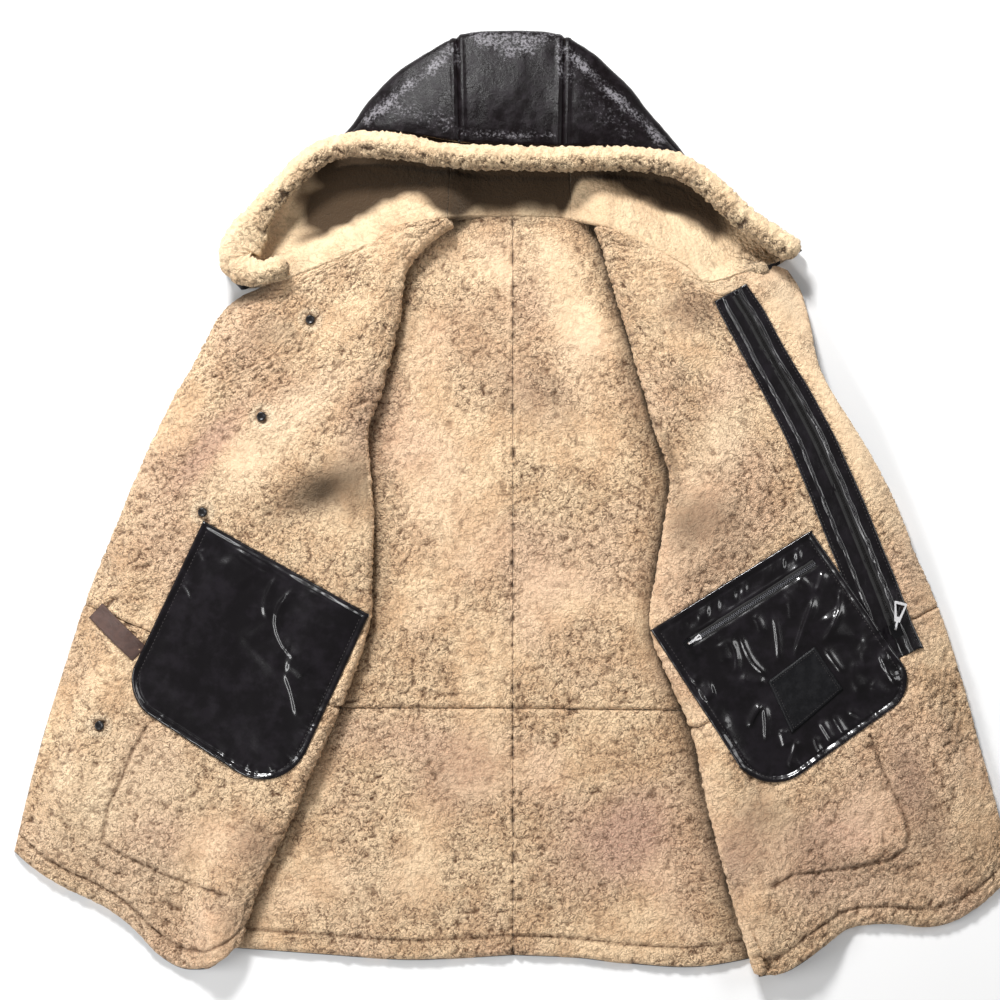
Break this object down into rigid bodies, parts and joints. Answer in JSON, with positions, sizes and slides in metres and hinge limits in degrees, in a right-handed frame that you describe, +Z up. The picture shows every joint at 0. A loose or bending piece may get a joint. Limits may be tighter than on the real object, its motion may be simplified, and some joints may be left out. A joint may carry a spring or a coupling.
{
  "type": "shearling coat",
  "caption": "Hooded shearling coat laid open on its back, wool side up, with inner leather pockets.",
  "frame": {"origin": "centre of the coat's outline, on the surface that it lies on", "axes": "+X across the coat to the wearer's left as it lies on its back, +Y from the hem to the hood, +Z up"},
  "size_m": [1.094, 1.042, 0.055],
  "materials": {
    "wool": "curly cream sheep's wool",
    "skin": "brown-black mottled satin outside, cream wool inside",
    "pouch": "black gloss, wrinkled",
    "patch": "black satin",
    "strap": "brown matt",
    "black": "black",
    "steel": "polished nickel"
  },
  "bodies": {
    "coat": {"front_upper_left": "wool", "front_lower_left": "wool", "front_upper_right": "wool", "front_lower_right": "wool", "back_upper_left": "wool", "back_lower_left": "wool", "back_upper_right": "wool", "back_lower_right": "wool", "sleeve_left": "skin", "sleeve_right": "skin", "hood_left": "skin", "hood_centre": "skin", "hood_right": "skin", "hood_rim": "wool", "pocket_left": "pouch", "pocket_right": "pouch", "pocket_zip_chain": "black", "pocket_zip_slider": "steel", "patch": "patch", "zip_strip": "pouch", "zip_chain": "black", "zip_slider": "steel", "strap": "strap", "button_1": "black", "button_2": "black", "button_3": "black", "button_4": "black"},
    "zip_pull": {"zip_pull": "steel"},
    "pocket_zip_pull": {"pocket_zip_pull": "steel"}
  },
  "joints": [
    {"name": "zip_pull_hinge", "type": "hinge", "parent": "coat", "child": "zip_pull", "pos_m": [0.416, -0.143, 0.04377], "axis": [0.9689, -0.2474, 0], "range_deg": [0, 150]},
    {"name": "pocket_zip_pull_hinge", "type": "hinge", "parent": "coat", "child": "pocket_zip_pull", "pos_m": [0.192, -0.159, 0.0492], "axis": [0.5268, -0.85, 0], "range_deg": [0, 150]}
  ]
}
